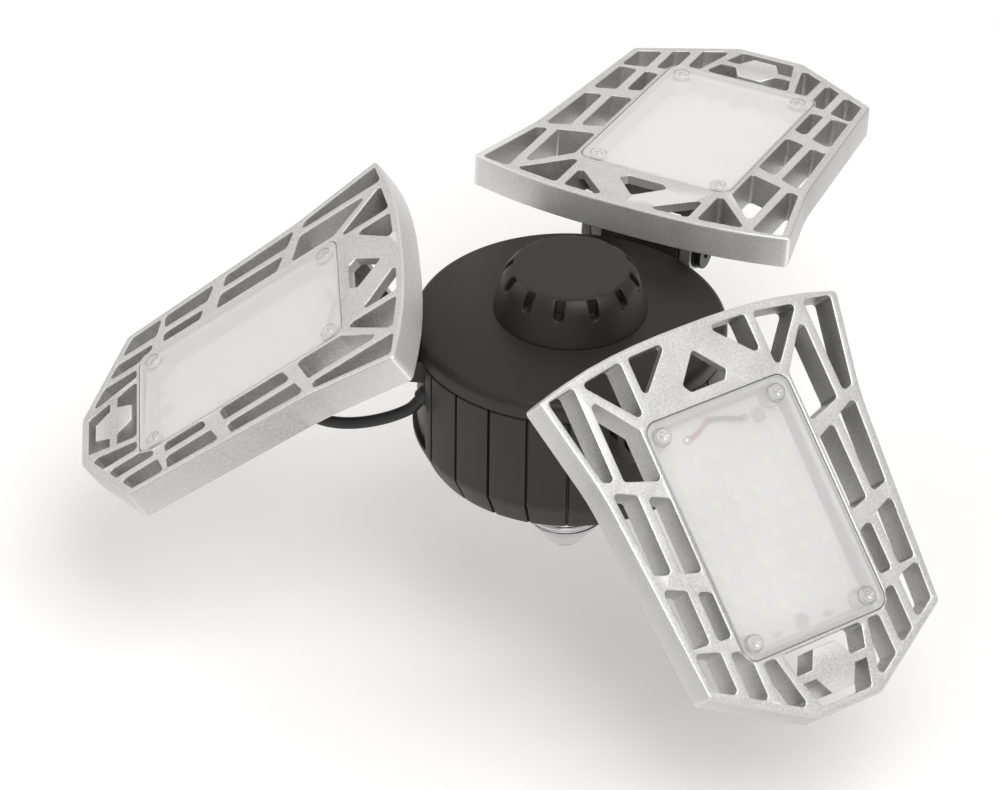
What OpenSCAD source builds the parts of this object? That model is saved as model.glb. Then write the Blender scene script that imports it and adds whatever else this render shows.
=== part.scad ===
// Folding three-panel garage light on an E27 lamp cap.
// Origin: centre of the end contact's face. +Z runs up the hub from the cap to the lit side.
// Each panel has its own frame at its hinge: x along the hinge, y outwards, z up from the hinge axis.

/* [Panels] */
// Tilt of the front panel below level, at rest
front_tilt = 43; // [0:1:90]
// Tilt of the rear panel below level, at rest
rear_tilt = 5; // [0:1:90]
// Tilt of the left panel below level, at rest
left_tilt = 35; // [0:1:90]
// Distance of each hinge axis outside the body's wall
hinge_out = 12.7; // [12.5:0.1:15]
// Height of the lit face above the hinge axis
face_z = 24.5; // [24:0.5:28]
// Depth of the cast frame
frame_depth = 11; // [10.5:0.5:14]
// Half width at the root corners
root_half = 57.6; // [56:0.2:58.4]
// Distance of the root corners behind the hinge axis
root_y = 19.5; // [18.5:0.5:20.5]
// Further bulge of the root edge towards the hub
root_bulge = 7; // [5.5:0.5:8]
// Half width where the side edge changes its slope
waist_half = 50.2; // [49:0.5:52]
// Distance of that place beyond the hinge axis
waist_y = 14; // [10:1:18]
// Half width at the shoulders
shoulder_half = 45; // [44:0.5:48]
// Distance of the shoulders beyond the hinge axis
shoulder_y = 84; // [83:0.5:87]
// Half width of the flat tip
tip_half = 12.3; // [10:0.5:14]
// Distance of the tip beyond the hinge axis
tip_y = 103; // [102:0.5:108]

/* [Lattice] */
// Width of the outer rim
rim_w = 3.1; // [2.5:0.1:4]
// Width of the rim along the root edge
root_rim = 2.9; // [2.4:0.1:3.6]
// Width of the struts that run along a panel
strut_w = 3.3; // [2.4:0.1:4]
// Width of the cells beside the window, first row
cell_1 = 12.2; // [11:0.2:13]
// Width of the cells beside the window, second row
cell_2 = 6.9; // [6:0.1:7.5]
// Width of the cells beside the window, third row
cell_3 = 4.6; // [4:0.1:5.5]
// Width of the cells beside the window, fourth row
cell_4 = 2.6; // [2:0.1:3.4]
// Thickness of the web over the hinge pocket
web_t = 3.3; // [2.5:0.1:4.5]
// Corner radius of the openings
cell_r = 1.3; // [0.6:0.1:1.8]
// Size across the flats of the hexagon at the tip
hex_af = 14.8; // [13:0.1:16]
// Width of the bars that hold the hexagon
hex_bar = 3.2; // [2.4:0.1:4]

/* [Window] */
// Width of the lens
lens_w = 54.4; // [53:0.2:55]
// Length of the lens
lens_l = 80.2; // [79.6:0.2:81]
// Corner radius of the lens
lens_r = 4.5; // [3:0.5:6]
// Gap round the lens
lens_gap = 0.3; // [0.2:0.1:0.5]
// Thickness of the lens
lens_t = 2; // [1.6:0.1:2.6]
// Wall between the window and the openings beside it
window_wall = 1.5; // [1.2:0.1:2]
// Width of the seat under the lens
seat_w = 2.2; // [1.8:0.1:2.8]
// Thickness of the gasket
gasket_t = 0.8; // [0.5:0.1:1.2]
// Distance of the window's near edge behind the hinge axis
window_y = 1.4; // [1:0.1:2]
// Thickness of the LED board
board_t = 1.6; // [1:0.1:2]
// Gap round the LED board
board_gap = 1.2; // [0.6:0.1:2]
// Thickness of the chamber's floor
floor_t = 2.4; // [2:0.1:3]
// Columns of LEDs
led_cols = 6; // [4:1:6]
// Rows of LEDs
led_rows = 8; // [4:1:8]
// Distance of the outer columns from the board's sides
led_side = 4.85; // [4.6:0.05:6]
// Distance of the first row from the board's near end
led_near = 12.8; // [12:0.2:15]
// Distance of the last row from the board's far end
led_far = 9.4; // [9:0.2:13]
// Inset of the lens screws from the lens's edge
boss_inset = 5.2; // [4.8:0.1:5.6]
// Radius of the lens bosses
boss_r = 3.2; // [3:0.1:3.6]
// Height of the cooling fins
fin_h = 3; // [2:0.5:4]
// Thickness of the cooling fins
fin_t = 1.6; // [1.2:0.1:2.4]

/* [Hinges] */
// Width of the hub's lug
lug_w = 28; // [24:1:30]
// Radius of the lug's round end
lug_r = 8; // [7:0.5:9]
// Thickness of each ear
ear_t = 4; // [3:0.5:4.5]
// Radius of each ear's round end
ear_r = 7; // [6.5:0.5:7.5]
// Gap between an ear and the lug
ear_gap = 0.25; // [0.1:0.05:0.4]
// Radius of the hinge bolt
bolt_r = 3; // [2.5:0.5:3.5]
// Running clearance on the hinge bolt's radius
bolt_gap = 0.05; // [0.02:0.01:0.09]
// Thickness of the washers
washer_t = 1; // [0.8:0.1:1.6]
// Thickness of the hinge nut
nut_t = 3.6; // [3:0.1:5]
// Size across the flats of the hinge nut
nut_af = 10; // [9:0.5:11]
// Radius of the bolt's head
head_r = 5.8; // [4.5:0.1:6]
// Height of the bolt's head
head_h = 2.2; // [2:0.1:4]

/* [Hub] */
// Radius of the body's wall
body_r = 50; // [49:0.5:51]
// Thickness of the body's wall
wall_t = 3; // [2.4:0.1:3.6]
// Height of the raised side panels above the wall
raise = 1.5; // [1:0.1:2]
// Height of the hinge axes above the end contact
hinge_z = 86; // [85:0.5:90]
// Height of the ledge between the body's two halves
ledge_z = 52; // [50:0.5:54]
// Height of the body's flat underside
base_z = 40; // [39:0.5:42]
// Distance that the lower bevel draws in from the side
bevel_in = 4; // [3:0.5:5]
// Height of the top cover's rim above the hinge axes
rim_up = 5.6; // [4.6:0.2:6.4]
// Depth of the top cover's rim
rim_h = 6.6; // [5.6:0.2:7.4]
// Rise of the cover from its rim to the centre cap
dome_rise = 3.6; // [2:0.2:5]
// Width of the grooves in the side
groove_w = 0.9; // [0.7:0.1:1.4]
// Raised panels between two hinges
side_panels = 5; // [3:1:7]

/* [Centre cap] */
// Radius of the cap's foot
cap_foot_r = 25.3; // [24:0.1:27]
// Radius of the cap's side just under its rounded shoulder
cap_r = 22.3; // [21.5:0.1:23]
// Height of the cap
cap_h = 15.5; // [13:0.5:17]
// Notches round the cap
notches = 12; // [8:1:16]
// Width of each notch
notch_w = 3.2; // [2:0.1:4]
// Depth of each notch from the side
notch_d = 3.2; // [2:0.1:3.6]

/* [Lamp cap] */
// Outer radius of the thread and of the collar above it
thread_r = 13.15; // [13:0.05:13.25]
// Depth of the thread
thread_d = 0.95; // [0.7:0.05:1]
// Pitch of the thread
thread_pitch = 3.63; // [3.6:0.01:3.65]
// Height of the collar above the thread
collar_h = 4; // [3:0.5:5]
// Height of the whole lamp cap
lampcap_h = 27; // [26:0.5:28]
// Thickness of the shell's sheet
sheet_t = 0.4; // [0.3:0.05:0.5]

/* [Leads] */
// Radius of each panel's lead
lead_r = 2; // [1.6:0.1:2.2]
// Distance of each lead from the panel's centreline
lead_x = 13; // [12:0.5:14]
// Distance of the panel's gland beyond the hinge axis
gland_y = 32; // [28:0.5:34]
// Depth of the hub's inlet below the hinge axis, at the wall
inlet_drop = 15; // [14.5:0.5:17]
// Slope of the hub's inlet below level
inlet_tilt = 50; // [35:1:55]
// Slack of the front panel's lead, as the length of its pull
front_sag = 28; // [20:1:34]
// Slack of the rear panel's lead
rear_sag = 8; // [6:1:20]
// Slack of the left panel's lead
left_sag = 22; // [16:1:28]

/* [Hidden] */
$fn = 64;
eps = 0.01;

front_az = 300;
rear_az = 60;
left_az = 180;

silver = [0.72, 0.73, 0.74];
black = [0.09, 0.085, 0.085];
steel = [0.62, 0.62, 0.63];

// Levels in a panel's own frame
under_z = face_z - frame_depth;
floor_z = under_z + floor_t;
board_z = floor_z + board_t;
lens_top = face_z + 0.2;
lens_bottom = lens_top - lens_t;
seat_z = lens_bottom - gasket_t;

// Plan of the window in a panel's own frame
window_mid = lens_l / 2 - window_y;
hole_w = lens_w + 2 * lens_gap;
hole_l = lens_l + 2 * lens_gap;
cell_x = hole_w / 2 + window_wall;
chamber_w = hole_w - 2 * seat_w;
chamber_l = hole_l - 2 * seat_w;
boss_x = lens_w / 2 - boss_inset;
boss_y = lens_l / 2 - boss_inset;
board_w = chamber_w - 2 * board_gap;
board_l = chamber_l - 2 * board_gap;
board_start = window_mid - board_l / 2;
board_end = window_mid + board_l / 2;

// Height on the panel of a share t of the window's length
function along_window(t) = window_mid + (t - 0.5) * hole_l;

// Cross bars: lower edge at the window wall and its slope, then the upper edge and its slope
bar_a = [along_window(0.223), -0.32, along_window(0.297), -0.45];
bar_b = [along_window(0.604), -0.28, along_window(0.689), -0.42];
bar_c = [along_window(0.876), -0.08, along_window(0.930), -0.25];
spine_x = 24.1;

// The hinge's stack, along its axis
ear_in = lug_w / 2 + ear_gap;
ear_out = ear_in + ear_t;
stack_out = ear_out + washer_t;
bore_r = bolt_r + bolt_gap;
tooth_turn = -22;
tooth_r = 10;

// Levels in the hub
hinge_r = body_r + hinge_out;
rim_z = hinge_z + rim_up;
cover_z = rim_z - rim_h;
dome_z = rim_z + dome_rise;
inner_r = body_r - wall_t;
side_r = body_r + raise;
base_r = side_r - bevel_in;
screw_ring = inner_r - 9;

// ---------------------------------------------------------------- outlines

function unit(v) = v / norm(v);

// Points of one rounded corner at q, between the neighbours p and s
function corner(p, q, s, r, n) =
    let (a = unit(p - q), b = unit(s - q),
         half = acos(max(-1, min(1, a * b))) / 2,
         cut = min(r / tan(half), 0.45 * norm(p - q), 0.45 * norm(s - q)),
         rr = cut * tan(half),
         c = q + unit(a + b) * rr / sin(half),
         u = q + a * cut - c, v = q + b * cut - c,
         start = atan2(u.y, u.x),
         turn = (atan2(v.y, v.x) - start + 540) % 360 - 180)
    [for (i = [0:n]) c + rr * [cos(start + turn * i / n), sin(start + turn * i / n)]];

// A closed outline with every corner rounded by r, or by its own entry of r
function rounded(pts, r, n = 4) =
    let (k = len(pts))
    [for (i = [0:k - 1]) each corner(pts[(i + k - 1) % k], pts[i], pts[(i + 1) % k],
                                     is_list(r) ? r[i] : r, n)];

function mirrored(pts) = [for (i = [len(pts) - 1:-1:0]) [-pts[i].x, pts[i].y]];

// Half width of the panel at y, along its straight side edges
function side_half(y) =
    y < waist_y ? waist_half + (root_half - waist_half) * (waist_y - y) / (waist_y + root_y)
                : waist_half + (shoulder_half - waist_half) * (y - waist_y) / (shoulder_y - waist_y);

// Root edge of the panel at x, bulging towards the hub
function root_edge(x) = -root_y - root_bulge * (1 - pow(abs(x) / root_half, 2.6));

// Height of a bar's lower or upper edge at x
function bar_low(bar, x) = bar[0] + bar[1] * (x - cell_x);
function bar_high(bar, x) = bar[2] + bar[3] * (x - cell_x);

// Sloping edge from the shoulder to the tip, at x
function tip_edge(x) = shoulder_y + (tip_y - shoulder_y) * (shoulder_half - x) / (shoulder_half - tip_half);

// A cell beside the window: from x0 to x1, between two bars
function inner_cell(low, high, x1) =
    [[cell_x, bar_high(low, cell_x)], [x1, bar_high(low, x1)],
     [x1, bar_low(high, x1)], [cell_x, bar_low(high, cell_x)]];

// A cell against the outer rim: from x0 to the side edge, between two bars
function outer_cell(low, high, x0) =
    let (x2 = side_half(bar_high(low, x0)) - rim_w, x3 = side_half(bar_low(high, x0)) - rim_w)
    [[x0, bar_high(low, x0)], [x2, bar_high(low, x2)], [x3, bar_low(high, x3)], [x0, bar_low(high, x0)]];

strut_1 = cell_x + cell_1;
strut_2 = cell_x + cell_2;
strut_3 = cell_x + cell_3;
strut_4 = cell_x + cell_4;
spine_in = spine_x - strut_w / 2;
spine_out = spine_x + strut_w / 2;
top_rim = rim_w * 1.12;
window_end = window_mid + hole_l / 2;
tip_base = window_end + window_wall - 0.4;

// Openings on one side of the panel, in order from the root to the tip
side_cells = [
    // beside the spade, under the sloping strut
    [[spine_in, -9], [spine_in, root_edge(spine_in) + root_rim],
     [7.8, root_edge(7.8) + root_rim]],
    // between the two sloping struts
    [[spine_out, -2.6], [strut_1 + 0.4, root_edge(strut_1 + 0.4) + root_rim + 0.3],
     [spine_out, root_edge(spine_out) + root_rim]],
    // against the rim, at the root corner
    [[strut_1 + strut_w, root_edge(strut_1 + strut_w) + root_rim - 0.5],
     [side_half(-root_y) - rim_w, root_edge(root_half - rim_w) + root_rim - 1.3],
     [side_half(9) - rim_w, bar_low(bar_a, side_half(9) - rim_w)],
     [strut_1 + strut_w, bar_low(bar_a, strut_1 + strut_w)]],
    // beside the window, over the sloping strut
    [[cell_x, -0.6], [strut_1 - 1.6, -13.6], [strut_1, -12.6],
     [strut_1, bar_low(bar_a, strut_1)], [cell_x, bar_low(bar_a, cell_x)]],
    outer_cell(bar_a, bar_b, strut_2 + strut_w),
    inner_cell(bar_a, bar_b, strut_2),
    outer_cell(bar_b, bar_c, strut_3 + strut_w),
    inner_cell(bar_b, bar_c, strut_3),
    // under the shoulder
    [[strut_4 + strut_w, bar_high(bar_c, strut_4 + strut_w)],
     [side_half(bar_c[2]) - rim_w + 0.6, bar_high(bar_c, shoulder_half)],
     [shoulder_half - rim_w + 0.5, tip_edge(shoulder_half - rim_w + 0.5) - top_rim],
     [strut_4 + strut_w, tip_edge(strut_4 + strut_w) - top_rim]],
    // round the window's corner
    [[spine_out, window_end + 0.2], [cell_x - 0.2, bar_c[2] + 0.4], [strut_4, bar_c[2]],
     [strut_4, tip_edge(strut_4) - top_rim], [spine_out, tip_edge(spine_out) - top_rim]],
    // beside the tip
    [[18.1, tip_base], [spine_in, tip_base], [spine_in, tip_edge(spine_in) - top_rim],
     [tip_half + 1.4, tip_edge(tip_half + 1.4) - top_rim]]
];

spade = [[0, -18.3], [8.4, -8.7], [6.4, -5.9], [-6.4, -5.9], [-8.4, -8.7]];
tip_hole = [[15.4, tip_base], [9.6, tip_y - rim_w], [-9.6, tip_y - rim_w], [-15.4, tip_base]];
hex_y = (tip_base + tip_y - rim_w) / 2 - 0.4;

root_steps = 12;
panel_outline = concat(
    [for (i = [0:root_steps]) let (x = (root_half - 2.5) * (2 * i / root_steps - 1)) [x, root_edge(x)]],
    corner([root_half - 3, root_edge(root_half - 3)], [root_half, -root_y], [waist_half, waist_y], 1.4, 4),
    corner([root_half, -root_y], [waist_half, waist_y], [shoulder_half, shoulder_y], 90, 6),
    corner([waist_half, waist_y], [shoulder_half, shoulder_y], [tip_half, tip_y], 2, 4),
    corner([shoulder_half, shoulder_y], [tip_half, tip_y], [-tip_half, tip_y], 6, 5));

// The right half of the outline, and its mirror image for the left
outline_right = [for (p = panel_outline) if (p.x > 0) p];

module panel_plan() {
    left = mirrored(outline_right);
    polygon(concat([[0, root_edge(0)]], outline_right, left));
}

module slot_from(z, pts) {
    translate([0, 0, z]) linear_extrude(height = face_z - z + 1) polygon(pts);
}

module rounded_box(w, l, r, z0, z1) {
    box = [[w / 2, l / 2], [-w / 2, l / 2], [-w / 2, -l / 2], [w / 2, -l / 2]];
    translate([0, window_mid, z0]) linear_extrude(height = z1 - z0) polygon(rounded(box, r, 6));
}

module at_bosses() {
    for (sx = [-1, 1], sy = [-1, 1]) translate([sx * boss_x, window_mid + sy * boss_y, 0]) children();
}

// Hole in the LED board for its wires, and the places of the two screws that hold it
wire_hole_x = 1.3;
board_screws_at = [[0, board_end - 3], [8.1 - board_w / 2, board_start + 6]];

module at_board_screws() {
    for (p = board_screws_at) translate([p.x, p.y, 0]) children();
}

// ---------------------------------------------------------------- one panel's pieces

// Profile in the y-z plane, extruded along x from x0 to x1
module along_x(x0, x1) {
    translate([x0, 0, 0]) rotate([90, 0, 90]) linear_extrude(height = x1 - x0) children();
}

module rod_x(r, x0, x1) {
    translate([x0, 0, 0]) rotate([0, 90, 0]) cylinder(r = r, h = x1 - x0);
}

module ear() {
    rod_x(ear_r, ear_in, ear_out);
    along_x(ear_in, ear_out)
        polygon([[ear_r, 0], [ear_r + 2, under_z + eps], [0, under_z + eps], [0, face_z - web_t + eps],
                 [-ear_r - 1.5, face_z - web_t + eps], [-ear_r, 0]]);
    // Tooth that meets the hub's stop when the panel hangs straight down
    along_x(ear_in, ear_out) rotate(tooth_turn)
        polygon([[ear_r - 1.5, -1.3], [tooth_r, -1], [tooth_r, 1], [ear_r - 1.5, 1.3]]);
}

module casting() {
    color(silver) difference() {
        union() {
            difference() {
                translate([0, 0, under_z]) linear_extrude(height = frame_depth) panel_plan();
                for (c = side_cells, m = [0, 1]) mirror([m, 0, 0]) slot_from(under_z - 1, rounded(c, cell_r));
                slot_from(under_z - 1, rounded(spade, 1.1));
                slot_from(under_z - 1, rounded(tip_hole, cell_r));
                hinge_pocket();
            }
            tip_hexagon();
            for (m = [0, 1]) mirror([m, 0, 0]) ear();
            fins();
            at_bosses() translate([0, 0, under_z - 2.5]) cylinder(r = boss_r + 0.6, h = 2.6);
        }
        rounded_box(hole_w, hole_l, lens_r, seat_z, face_z + 1);
        rounded_box(chamber_w, chamber_l, 2.5, floor_z, face_z);
        at_bosses() translate([0, 0, under_z - 1.5]) cylinder(r = 1.2, h = 10);
        at_board_screws() translate([0, 0, under_z + 0.6]) cylinder(r = 1.2, h = 10);
        translate([-lead_x, gland_y, under_z - 1]) cylinder(r = lead_r + 0.4, h = floor_t + 2);
        rod_x(bore_r, -ear_out - 1, ear_out + 1);
    }
}

// Space under the web, where the hub's lug swings
module hinge_pocket() {
    w = spine_in - 0.2;
    pocket = [[w, -window_y - lens_gap - window_wall - 0.4], [-w, -window_y - lens_gap - window_wall - 0.4],
              [-w, root_edge(w) + root_rim], [-w / 2, root_edge(w / 2) + root_rim],
              [w / 2, root_edge(w / 2) + root_rim], [w, root_edge(w) + root_rim]];
    translate([0, 0, under_z - 1]) linear_extrude(height = frame_depth - web_t + 1) polygon(pocket);
}

module tip_hexagon() {
    r = hex_af / 2 / cos(30);
    translate([0, hex_y, under_z]) {
        cylinder(r = r, h = frame_depth, $fn = 6);
        translate([-tip_half - 1.5, -hex_bar / 2, 0]) cube([2 * tip_half + 3, hex_bar, frame_depth]);
    }
}

fin_start = gland_y + 8;
fin_pitch = 9;

module fins() {
    for (k = [-2:2])
        translate([k * fin_pitch - fin_t / 2, fin_start, under_z - fin_h])
            cube([fin_t, window_end - fin_start - 4, fin_h + 1]);
}

module lens() {
    color([0.93, 0.95, 0.95, 0.5]) difference() {
        union() {
            rounded_box(lens_w, lens_l, lens_r - lens_gap, lens_bottom, lens_top);
            at_bosses() translate([0, 0, floor_z]) cylinder(r = boss_r, h = lens_bottom - floor_z + eps);
        }
        at_bosses() {
            translate([0, 0, floor_z - 1]) cylinder(r = 1.6, h = 20);
            translate([0, 0, lens_top - 1.4]) cylinder(r = 2.7, h = 5);
        }
    }
}

module lens_gasket() {
    color([0.86, 0.87, 0.87]) difference() {
        rounded_box(lens_w - 0.4, lens_l - 0.4, lens_r - 0.5, seat_z, lens_bottom);
        rounded_box(lens_w - 2 * seat_w + 1, lens_l - 2 * seat_w + 1, 2.6, seat_z - 1, lens_bottom + 1);
    }
}

module led_board() {
    color([0.95, 0.96, 0.95]) difference() {
        rounded_box(board_w, board_l, 1.2, floor_z, board_z);
        at_bosses() translate([0, 0, floor_z - 1]) cylinder(r = boss_r + 0.5, h = board_t + 2);
        for (sx = [-1, 1], sy = [-1, 1])
            translate([sx * (boss_x + 5), window_mid + sy * (boss_y + 5), floor_z + board_t / 2])
                cube([10, 10, board_t + 2], center = true);
        at_board_screws() translate([0, 0, floor_z - 1]) cylinder(r = 1.6, h = board_t + 2);
        translate([wire_hole_x, board_start + 1.9, floor_z - 1]) cylinder(r = 1.3, h = board_t + 2);
    }
}

led_w = 2.8;
led_l = 3.5;
led_dx = (board_w - 2 * led_side) / (led_cols - 1);
led_dy = (board_l - led_near - led_far) / (led_rows - 1);

module leds() {
    color([0.95, 0.88, 0.55])
        for (i = [0:led_cols - 1], j = [0:led_rows - 1])
            translate([(i - (led_cols - 1) / 2) * led_dx - led_w / 2,
                       board_start + led_near + j * led_dy - led_l / 2, board_z])
                cube([led_w, led_l, 0.6]);
}

pad_x = 10.8;
pad_y = board_start + 5.5;
wire_r = 0.7;

// The black and the red wire, from the hole in the board to their solder pads
module board_wires() {
    for (s = [-1, 1]) {
        start = [wire_hole_x + s * 0.2, board_start + 2.5, board_z + wire_r + 0.05];
        along = [s * pad_x, pad_y, board_z + wire_r + 0.05] - start;
        color(s < 0 ? [0.1, 0.1, 0.1] : [0.7, 0.1, 0.12]) {
            translate(start + [s * wire_r, 0, 0]) rotate([0, 90, atan2(along.y, along.x)])
                cylinder(r = wire_r, h = norm(along) - wire_r, $fn = 24);
            translate([s * (pad_x + 0.6), pad_y, board_z]) cylinder(r = 1.5, h = 0.9);
        }
    }
}

module screw(head_r, head_h, r, length) {
    translate([0, 0, -head_h]) difference() {
        cylinder(r = head_r, h = head_h);
        for (a = [0, 90]) rotate(a)
            translate([-head_r * 0.55, -0.35, head_h - 0.7]) cube([head_r * 1.1, 0.7, 1]);
    }
    translate([0, 0, -length]) cylinder(r = r, h = length - head_h + eps);
}

module lens_screws() {
    color(steel) at_bosses() translate([0, 0, lens_top - 0.1]) screw(2.5, 1.3, 1.2, lens_top - under_z + 0.5);
}

module board_screws() {
    color(steel) at_board_screws() translate([0, 0, board_z + 1.3]) screw(2.4, 1.3, 1.2, board_t + 1.3 + 1.7);
}

// The head is at the +x end and the nut at the -x end
module hinge_bolt() {
    color(black) {
        rod_x(bolt_r, -stack_out - nut_t - 0.8, stack_out + eps);
        difference() {
            rod_x(head_r, stack_out, stack_out + head_h);
            rotate([0, 90, 0]) translate([0, 0, stack_out + head_h - 1.4]) cylinder(r = 2.3, h = 3, $fn = 6);
        }
    }
}

module hinge_nut() {
    color(steel) difference() {
        translate([-stack_out - nut_t, 0, 0]) rotate([0, 90, 0])
            cylinder(r = nut_af / 2 / cos(30), h = nut_t, $fn = 6);
        rod_x(bolt_r, -stack_out - nut_t - 1, -stack_out + 1);
    }
}

module hinge_washers() {
    color(steel) for (m = [0, 1]) mirror([m, 0, 0]) difference() {
        rod_x(nut_af / 2 / cos(30) + 0.3, ear_out, stack_out);
        rod_x(bore_r, ear_out - 1, stack_out + 1);
    }
}

gland_r = 4.5;
gland_h = 8;
gland_tip = under_z - gland_h;

module gland() {
    color(black) translate([-lead_x, gland_y, 0]) difference() {
        union() {
            translate([0, 0, under_z - 3]) cylinder(r = gland_r, h = 3);
            translate([0, 0, gland_tip]) cylinder(r1 = lead_r + 0.9, r2 = gland_r - 0.5, h = gland_h - 3 + eps);
        }
        translate([0, 0, gland_tip - 1]) cylinder(r = lead_r, h = gland_h + 2);
    }
}

// ---------------------------------------------------------------- leads

inlet_r = 3;
spigot_r = 2.75;
inlet_out = 1.5;
inlet_at = [sqrt(pow(body_r, 2) - pow(lead_x, 2)), -inlet_drop];
inlet_way = [cos(inlet_tilt), -sin(inlet_tilt)];

// Point of a panel's own frame, as distance from the centreline and height over the hinge axis
function seen(tilt, y, z) = [hinge_r + y * cos(tilt) + z * sin(tilt), z * cos(tilt) - y * sin(tilt)];

// Route from the hub's inlet to the panel's gland: distance and height of each point
function lead_route(tilt, sag) =
    let (start = inlet_at + inlet_out * inlet_way, goal = seen(tilt, gland_y, gland_tip),
         away = goal - seen(tilt, gland_y, gland_tip + 1),
         p0 = start + 2 * lead_r * inlet_way, p1 = start + 0.4 * sag * inlet_way,
         p2 = goal + sag * away, p3 = goal + 2 * lead_r * away,
         free = [for (i = [1:13]) let (t = i / 14, u = 1 - t)
                 u * u * u * p0 + 3 * u * u * t * p1 + 3 * u * t * t * p2 + t * t * t * p3])
    concat([start - 6 * inlet_way, start, p0], free, [p3, goal, goal - 6 * away]);

lead_sides = 8;

module lead(az, tilt, sag) {
    route = lead_route(tilt, sag);
    n = len(route);
    rings = [for (i = [0:n - 1])
             let (d = unit(route[min(i + 1, n - 1)] - route[max(i - 1, 0)]), side = [-d.y, d.x])
             for (k = [0:lead_sides - 1])
             let (a = 360 * k / lead_sides)
             [-lead_x + lead_r * cos(a), route[i].x + lead_r * sin(a) * side.x,
              route[i].y + lead_r * sin(a) * side.y]];
    wall = [for (i = [0:n - 2], k = [0:lead_sides - 1])
            let (a = i * lead_sides + k, b = i * lead_sides + (k + 1) % lead_sides)
            each [[a, b, b + lead_sides], [a, b + lead_sides, a + lead_sides]]];
    first = [for (k = [lead_sides - 1:-1:0]) k];
    last = [for (k = [0:lead_sides - 1]) (n - 1) * lead_sides + k];
    color(black) translate([0, 0, hinge_z]) rotate(az - 90)
        polyhedron(points = rings, faces = concat(wall, [first], [last]));
}

// ---------------------------------------------------------------- hub

module at_hinges() {
    for (az = [front_az, rear_az, left_az]) rotate(az - 90) children();
}

// Tangent point from p to the circle of radius r about c, on the side given by s
function tangent(p, c, r, s) =
    let (d = norm(p - c), a = acos(r / d), b = atan2(p.y - c.y, p.x - c.x))
    c + r * [cos(b + s * a), sin(b + s * a)];

root_drop = 10;
lug_top = cover_z - hinge_z - 0.2;
stop_y = 4.85;
stop_low = -12.4;
stop_high = -5.6;

module lug() {
    low = [body_r - 4, -root_drop];
    high = [side_r + 0.4, lug_top];
    axis = [hinge_r, 0];
    near_r = 0.96 * lug_r;
    translate([0, 0, hinge_z]) {
        along_x(-lug_w / 2, lug_w / 2)
            polygon([low, tangent(low, axis, near_r, 1), axis, tangent(high, axis, near_r, -1), high,
                     [body_r - 4, lug_top]]);
        translate([0, hinge_r, 0]) rod_x(lug_r, -lug_w / 2, lug_w / 2);
        // Stop that the tooth of one ear meets
        translate([ear_in, body_r - 5, stop_low])
            cube([ear_t, hinge_r - stop_y - body_r + 5, stop_high - stop_low]);
        // Small pad on the lug's upper side
        translate([-lug_w / 2 + 1.5, hinge_r - 6.5, 2]) cube([4, 5, 4.6]);
    }
}

// Ring from r0 to r1 and z0 to z1
module ring(r0, r1, z0, z1) {
    translate([0, 0, z0]) difference() {
        cylinder(r = r1, h = z1 - z0, $fn = 128);
        translate([0, 0, -1]) cylinder(r = r0, h = z1 - z0 + 2, $fn = 128);
    }
}

bay_half = lead_x + inlet_r + 1.1;
bay_angle = asin(bay_half / body_r);
strip_angle = 5;
side_step = (120 - 2 * bay_angle - strip_angle) / side_panels;
side_top = cover_z - 0.3;
groove_angle = groove_w / side_r * 180 / PI;

// Place of groove k, counted from a hinge
function groove_at(k) = bay_angle + strip_angle + k * side_step;

// Grooves down the lower body, following its bevel
module grooves() {
    at_hinges() for (k = [0:side_panels - 1]) rotate(90 + groove_at(k))
        translate([0, groove_w / 2, 0]) rotate([90, 0, 0]) linear_extrude(height = groove_w)
            polygon([[body_r - 0.1, ledge_z + 1], [side_r + 3, ledge_z + 1], [side_r + 3, base_z - 2],
                     [base_r - raise, base_z - 2], [base_r - raise, base_z + 2], [body_r - 0.1, ledge_z - 1.4]]);
}

// Raised panel from angle a to angle b, counted from a hinge
module side_panel(a, b) {
    rotate(90 + a) rotate_extrude(angle = b - a, $fn = 128)
        polygon([[body_r - 1, ledge_z], [side_r, ledge_z], [side_r, side_top - 0.5],
                 [side_r - 0.5, side_top], [body_r - 1, side_top]]);
}

pillar_h = 24;
spigot_up = 3;

// Children along the axis of each lead's inlet, with z outwards from the wall
module along_inlets() {
    at_hinges() translate([-lead_x, inlet_at.x, hinge_z + inlet_at.y])
        rotate([-90 - inlet_tilt, 0, 0]) children();
}

module upper_body() {
    color(black) difference() {
        union() {
            rotate_extrude($fn = 128)
                polygon([[inner_r, ledge_z], [body_r, ledge_z], [body_r, cover_z], [inner_r - 0.3, cover_z],
                         [inner_r - 0.3, cover_z + 2], [inner_r - 2, cover_z + 2], [inner_r - 2, cover_z - 4],
                         [inner_r, cover_z - 6]]);
            at_hinges() {
                side_panel(bay_angle, groove_at(0) - groove_angle / 2);
                for (k = [0:side_panels - 1])
                    side_panel(groove_at(k) + groove_angle / 2,
                               groove_at(k + 1) - (k < side_panels - 1 ? groove_angle / 2 : 0));
            }
            difference() {
                at_hinges() lug();
                cylinder(r = inner_r + 1, h = 200);
            }
            for (a = [0, 120, 240]) rotate(a) {
                translate([screw_ring, 0, ledge_z + 1]) cylinder(r = 4, h = pillar_h);
                translate([screw_ring, -1.2, ledge_z + spigot_up + 0.2])
                    cube([inner_r - screw_ring + 1, 2.4, pillar_h + 0.8 - spigot_up]);
            }
        }
        for (a = [0, 120, 240]) rotate(a) translate([screw_ring, 0, ledge_z]) cylinder(r = 1.5, h = 20);
        along_inlets() translate([0, 0, -9]) cylinder(r = spigot_r + 0.05, h = 18);
        at_hinges() translate([0, hinge_r, hinge_z]) rod_x(bore_r, -lug_w / 2 - 1, lug_w / 2 + 1);
    }
}

rim_round = 3;
cover_t = 2.4;
hub_hole = 14;

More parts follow.
